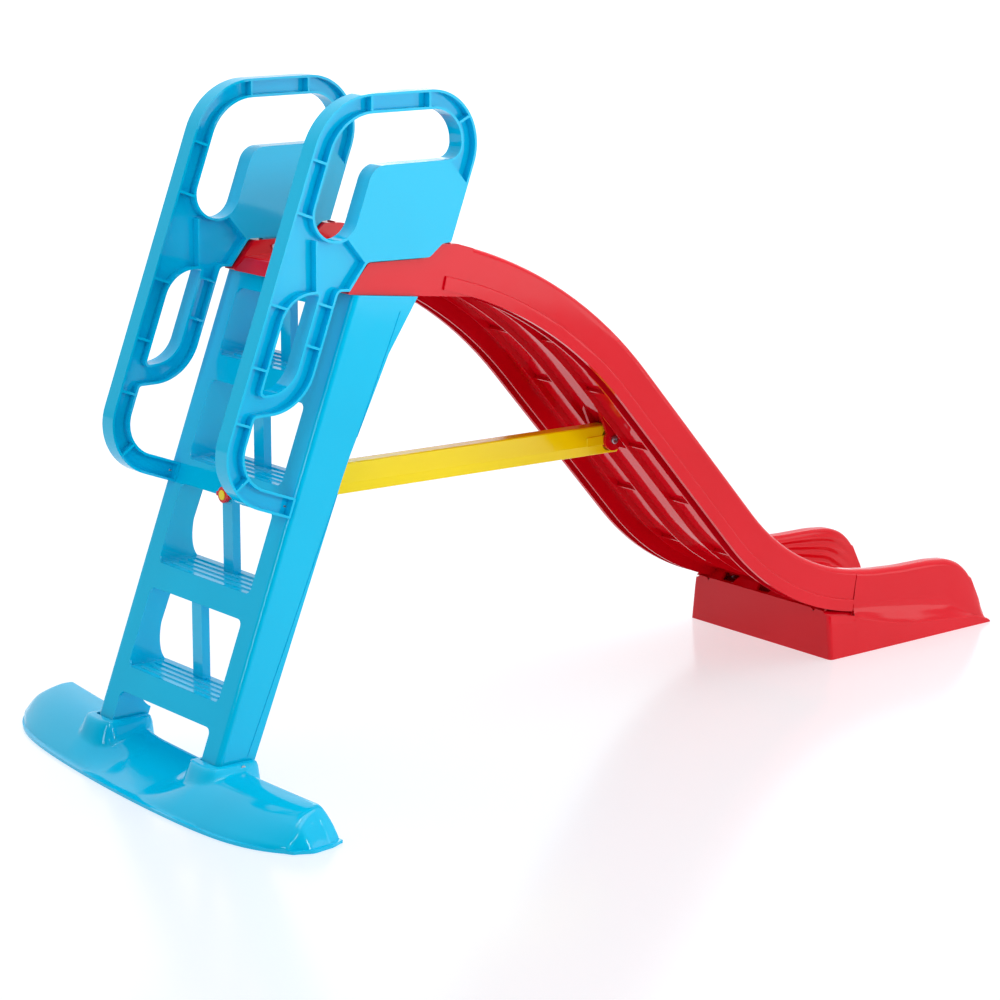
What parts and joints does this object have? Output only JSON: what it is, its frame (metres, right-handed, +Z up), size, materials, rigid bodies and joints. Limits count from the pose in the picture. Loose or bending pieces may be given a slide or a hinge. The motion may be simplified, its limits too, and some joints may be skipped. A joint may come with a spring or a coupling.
{
  "type": "toddler slide",
  "caption": "Toddler slide: moulded ladder on a curved foot base, two pocketed handrails, a wavy chute with a low exit piece, and a brace locked by a turning ring.",
  "frame": {"origin": "centre of the bounding box's footprint, on the floor", "axes": "+X from the ladder's foot towards the exit, +Y towards the left handrail as the child climbs, +Z up"},
  "size_m": [2.0029, 0.96, 1.17],
  "materials": {
    "blue_plastic": "glossy blown and injection moulded plastic",
    "red_plastic": "glossy moulded plastic",
    "yellow_plastic": "glossy moulded plastic",
    "steel": "zinc plated steel"
  },
  "bodies": {
    "frame": {"foot_base": "blue_plastic", "ladder": "blue_plastic", "handrail_left": "blue_plastic", "handrail_right": "blue_plastic", "chute": "red_plastic", "exit_piece": "red_plastic", "brace": "yellow_plastic", "brace_pin": "steel", "brace_nut": "steel", "handrail_left_screws": "steel", "handrail_right_screws": "steel", "arm_screws": "steel", "deck_screws": "steel", "exit_screws": "steel", "foot_screws": "steel"},
    "ring": {"lock_ring": "red_plastic"}
  },
  "joints": [
    {"name": "lock_ring_turn", "type": "hinge", "parent": "frame", "child": "ring", "pos_m": [-0.742, 0, 0.4795], "axis": [0.9999, 0, -0.0122], "range_deg": [0, 90]}
  ]
}
